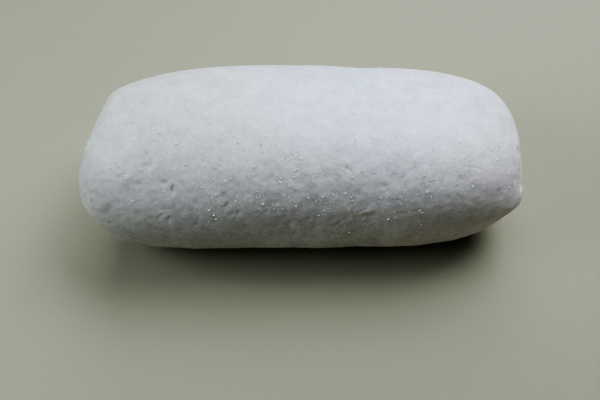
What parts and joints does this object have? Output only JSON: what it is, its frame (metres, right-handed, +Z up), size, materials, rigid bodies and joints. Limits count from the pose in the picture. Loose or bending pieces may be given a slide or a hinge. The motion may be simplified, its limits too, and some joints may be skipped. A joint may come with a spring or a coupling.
{
  "type": "unbaked bread loaf",
  "caption": "Smooth blunt-ended log of raw wheat dough, rolled up and slumped flat underneath, shaped to rise before baking.",
  "frame": {"origin": "on the surface that the loaf lies on, under the middle of its box", "axes": "+X along the log to its blunter, lipped end, +Y towards the back, +Z up"},
  "size_m": [0.2, 0.0886, 0.072],
  "materials": {
    "raw_dough": "satin"
  },
  "bodies": {
    "root": {"dough": "raw_dough"}
  },
  "joints": []
}
